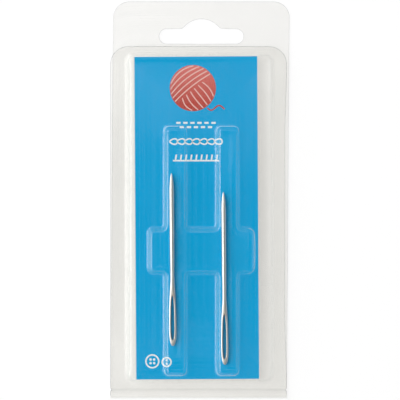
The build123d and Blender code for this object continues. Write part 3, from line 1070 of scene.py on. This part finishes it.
def clear_sheet_material(mottle):
    """Clear glossy sheet: see-through film with dark lines of painted shade, haze on walls and bends that is partly
    painted sheen and painted glints, and a mirror that grows at grazing angles.

    Facing is 1 less the cosine of the viewing angle. The mirror's share is its fifth power times GRAZING_MIRROR,
    plus FACING_MIRROR, on both faces of the sheet alike. Dust is the middles of a few cells of a Voronoi pattern.
    """
    material, tree = new_material("clear_sheet_glossy")
    place = object_place(tree)
    facing = add_node(tree, "LayerWeight", {"Blend": 0.5}).outputs["Facing"]

    tilt_shade = product(tree, facing, TILT_SHADE)
    # Painted shade: the film darkens along the marked dark lines, and a little more at a slant
    dark_share = maths(tree, "MULTIPLY_ADD", mark(tree, "shade"), LINE_SHADE, tilt_shade, clamp=True)
    film = add_node(tree, "BsdfTransparent", {"Color": FILM_TINT})
    dark_film = add_node(tree, "BsdfTransparent", {"Color": DARK_FILM_TINT})

    # Haze on the walls, more at a slant and on walls that face the sides: partly real haze, partly painted sheen
    wall_haze_and_sheen = ranged(tree, facing, *WALL_FACING, FLAT_HAZE, WALL_HAZE_AND_SHEEN)
    on_walls = product(tree, wall_haze_and_sheen, mark(tree, "side"))
    patches = add_node(tree, "TexNoise", {"Vector": place, **BEND_PATCHES}).outputs["Fac"]
    uneven = ranged(tree, patches, 0.0, 1.0, 1 - BEND_UNEVENNESS / 2, 1 + BEND_UNEVENNESS / 2)
    # Bright lines on the bends: painted glints with some stress whitening
    on_bend_glints = maths(tree, "MULTIPLY", mark(tree, "bend_glint"), uneven, clamp=True)
    cells = add_node(tree, "TexVoronoi", {"Vector": place, "Scale": DUST_SCALE}).outputs
    chance = add_node(tree, "SeparateColor", (cells["Color"],)).outputs["Red"]
    near = maths(tree, "LESS_THAN", cells["Distance"], DUST_SIZE)
    speck = product(tree, near, maths(tree, "LESS_THAN", chance, DUST_SHARE))
    haze_dust_and_sheen_share = maths(tree, "MULTIPLY_ADD", on_bend_glints, BEND_HAZE_AND_GLINT, on_walls)
    haze_dust_and_sheen_share = maths(tree, "MULTIPLY_ADD", speck, DUST_COVER, haze_dust_and_sheen_share, clamp=True)
    # The haze's pale blue is painted light from the card below; dust specks are greyer
    haze_dust_and_sheen_colour = mixed_colours(tree, speck, HAZE_AND_SHEEN_COLOUR, DUST_COLOUR)
    haze_dust_and_sheen = add_node(tree, "BsdfPrincipled", {"Base Color": haze_dust_and_sheen_colour, "Roughness": HAZE_ROUGHNESS})
    film_with_haze_and_sheen = mixed_shaders(tree, haze_dust_and_sheen_share, mixed_shaders(tree, dark_share, film, dark_film), haze_dust_and_sheen)

    streaks = add_node(tree, "TexNoise", {"W": mark(tree, "outside"), **FLANGE_STREAKS}, noise_dimensions="1D")
    streaked = bumped(tree, streaks.outputs["Fac"], *STREAK_BUMP)
    gloss = add_node(tree, "BsdfGlossy", {
        "Color": (1, 1, 1, 1),
        "Roughness": product(tree, pattern(tree, mottle, SHEET_WEAR), SHEET_ROUGHNESS),
        "Normal": bumped(tree, pattern(tree, mottle, SHEET_RIPPLE), *RIPPLE_BUMP, Normal=streaked),
    })
    mirror = maths(tree, "MULTIPLY_ADD", maths(tree, "POWER", facing, 5.0), GRAZING_MIRROR, FACING_MIRROR)
    shine = mixed_shaders(tree, mirror, film_with_haze_and_sheen, gloss)
    to_lamps = add_node(tree, "BsdfTransparent", {"Color": LAMP_TINT})
    shadow_ray = add_node(tree, "LightPath").outputs["Is Shadow Ray"]
    return finished(material, mixed_shaders(tree, shadow_ray, shine, to_lamps))


def cut_edge_material(name, mottle, cover):
    """Cut edge of the clear sheet: frosted and greyer than its faces, and see-through but for its cover."""
    material, tree = new_material(name)
    colour = varied_colour(tree, EDGE_COLOUR, pattern(tree, mottle, {"Scale": EDGE_GRAIN}))
    frost = add_node(tree, "BsdfPrincipled", {"Base Color": colour, "Roughness": EDGE_ROUGHNESS})
    return finished(material, mixed_shaders(tree, cover, add_node(tree, "BsdfTransparent"), frost))


def paper_material(mottle, name, colour, roughness, strength, scale, tooth, upper=None):
    """Coated or bare board: an even colour with a soft mottle, and a faint tooth from fine noise.

    Strength and scale are the mottle's. upper is another colour and the two places along Y between which the first
    turns into it.
    """
    material, tree = new_material(name)
    patches = pattern(tree, mottle, {"Scale": scale, "Detail": 5.0, "Strength": strength})
    varied = varied_colour(tree, colour, patches)
    if upper:
        second, low, high = upper
        up = ranged(tree, add_node(tree, "SeparateXYZ", (object_place(tree),)).outputs["Y"], low, high, 0.0, 1.0)
        varied = mixed_colours(tree, up, varied, varied_colour(tree, second, patches))
    return finished(material, add_node(tree, "BsdfPrincipled", {
        "Base Color": varied,
        "Roughness": roughness,
        "Specular IOR Level": PAPER_SPECULAR,
        "Normal": bumped(tree, pattern(tree, mottle, PAPER_GRAIN), tooth, PAPER_TOOTH),
    }))


def steel_material(mottle, hairlines):
    """Nickel-plated steel wire: bright metal with fine drawing lines along it and a slightly cloudy polish, darkened
    inside the eye and on its rim by painted shade.
    """
    material, tree = new_material("nickel_plated_steel")
    # Painted shade darkens the steel inside the eye
    painted_eye_shade = ranged(tree, mark(tree, "inside_eye"), 0.0, 1.0, 1.0, EYE_SHADE_BRIGHTNESS)
    tone_and_eye_shade = product(tree, pattern(tree, mottle, STEEL_TONE), painted_eye_shade)
    return finished(material, add_node(tree, "BsdfPrincipled", {
        "Base Color": varied_colour(tree, STEEL_COLOUR, tone_and_eye_shade),
        "Metallic": 1.0,
        "Roughness": product(tree, pattern(tree, mottle, STEEL_CLOUD), STEEL_ROUGHNESS),
        "Normal": bumped(tree, pattern(tree, hairlines, STEEL_LINES), *STEEL_LINE_BUMP),
    }))


def lay_floor():
    """Pale floor just below the pack."""
    mesh = bpy.data.meshes.new("floor")
    corners = [(x * FLOOR_HALF, y * FLOOR_HALF, cad_low.z - FLOOR_GAP) for x, y in ((-1, -1), (1, -1), (1, 1), (-1, 1))]
    mesh.from_pydata(corners, [], [(0, 1, 2, 3)])
    material, tree = new_material("pale_floor")
    mesh.materials.append(finished(material, add_node(tree, "BsdfPrincipled", FLOOR_PAINT)))
    floor = new_object("floor", mesh)


def light_studio():
    """Soft sky that is brightest low down and to the left, and a soft box at the upper left.

    Across and along are the slopes of a direction, X and Y over its height. The sky's brightness is a product of six
    shares. The last is dark in an ellipse of slopes, where the camera stands.
    """
    world = bpy.data.worlds.new("studio")
    bpy.context.scene.world = world
    world.use_nodes = True
    tree = world.node_tree
    axes = add_node(tree, "SeparateXYZ", (add_node(tree, "TexCoord").outputs["Generated"],)).outputs
    height = maths(tree, "MAXIMUM", axes["Z"], SKY_LOWEST)
    across, along = (maths(tree, "DIVIDE", axes[axis], height) for axis in ("X", "Y"))
    past_edge = maths(tree, "SUBTRACT", along, product(tree, across, WINDOW_LEAN))
    in_window = product(tree, ranged(tree, past_edge, *WINDOW_EDGE, 0.0, 1.0, "SMOOTHSTEP"),
                        ranged(tree, height, *WINDOW_HEIGHTS, 0.0, 1.0, "SMOOTHSTEP"))
    offsets = [
        maths(tree, "DIVIDE", maths(tree, "SUBTRACT", part, middle), half)
        for part, (middle, half) in zip((across, along), CAMERA_SHADE)
    ]
    squares = maths(tree, "ADD", *(product(tree, offset, offset) for offset in offsets))
    brightness = product(
        tree,
        ranged(tree, height, *SKY_HEIGHTS, SKY_LOW_DOWN, SKY_OVERHEAD, "SMOOTHSTEP"),
        ranged(tree, axes["X"], -1.0, 1.0, *SKY_SIDES),
        ranged(tree, maths(tree, "ABSOLUTE", axes["Y"]), *SKY_END_REACH, *SKY_ENDS, "SMOOTHSTEP"),
        ranged(tree, across, *SIDE_FALL, SIDE_GAIN, 1 / SIDE_GAIN, "SMOOTHSTEP"),
        maths(tree, "MULTIPLY_ADD", in_window, WINDOW_GAIN, 1.0),
        ranged(tree, maths(tree, "SQRT", squares), *CAMERA_SHADE_EDGE, 0.0, 1.0, "SMOOTHSTEP"),
    )
    sky = tree.nodes["Background"]
    sky.inputs["Color"].default_value = (1.0, 1.0, 1.0, 1)
    tree.links.new(brightness, sky.inputs["Strength"])

    key = bpy.data.lights.new("soft_box", "AREA")
    key.shape = "RECTANGLE"
    key.size, key.size_y = KEY_SIZE
    key.energy = KEY_WATTS
    lamp = new_object("soft_box", key)
    lamp.location = KEY_PLACE
    lamp.rotation_euler = (-lamp.location).to_track_quat("-Z", "Y").to_euler()


def add_camera():
    """Camera straight above the pack's front, its upper edge towards the hang tab."""
    data = bpy.data.cameras.new("photo_view")
    data.lens, data.sensor_width = LENS, SENSOR
    data.clip_start, data.clip_end = CLIP
    camera = new_object("photo_view", data)
    camera.location = (0.0, 0.0, SHOWN_HALF * LENS / (SENSOR / 2))
    bpy.context.scene.camera = camera


add_camera()
mottle, hairlines = mottle_group(), hairline_group()
clear_sheet = clear_sheet_material(mottle)
front_materials = [clear_sheet, cut_edge_material("front_cut_edge", mottle, FRONT_EDGE_COVER)]
back_materials = [clear_sheet, cut_edge_material("back_cut_edge", mottle, BACK_EDGE_COVER)]
ball_y = card_middle.y + BALL_AT[1]
lighter_red = ((0.78, 0.21, 0.185), ball_y - 0.7 * BALL_RADIUS, ball_y + 0.9 * BALL_RADIUS)
# Name, colour, roughness, strength and scale of the mottle, tooth, and a second colour further up
paper_finishes = (
    ("printed_blue", (0.0, 0.43, 0.82), 0.35, 0.06, 60.0, 0.08),
    ("white_cut_edge", (0.86, 0.86, 0.85), 0.8, 0.1, 900.0, 0.5),
    ("bare_board_back", (0.72, 0.71, 0.68), 0.85, 0.16, 500.0, 0.5),
    ("red_ink", (0.56, 0.075, 0.055), 0.3, 0.08, 120.0, 0.05, lighter_red),
    ("pale_ink", (0.9, 0.62, 0.58), 0.3, 0.05, 120.0, 0.05),
    ("white_ink", (0.95, 0.98, 0.98), 0.3, 0.02, 120.0, 0.05),
)
blue, white_edge, board_back, red_ink, pale_ink, white_ink = (
    paper_material(mottle, *finish) for finish in paper_finishes
)
steel = steel_material(mottle, hairlines)

for sheet_piece in (back_sheet(back_materials), front_sheet(front_materials), fold_nose(back_materials)):
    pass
card_board([blue, white_edge, board_back])
yarn_ball_prints(red_ink, pale_ink)
stitch_prints(white_ink)
button_prints(white_ink)
build_needle("left_needle_steel", "left_needle", "needle_left", steel)
build_needle("right_needle_steel", "right_needle", "needle_right", steel)
lay_floor()
light_studio()

scene = bpy.context.scene
scene.view_settings.view_transform = "Standard"
scene.cycles.transparent_max_bounces = 32
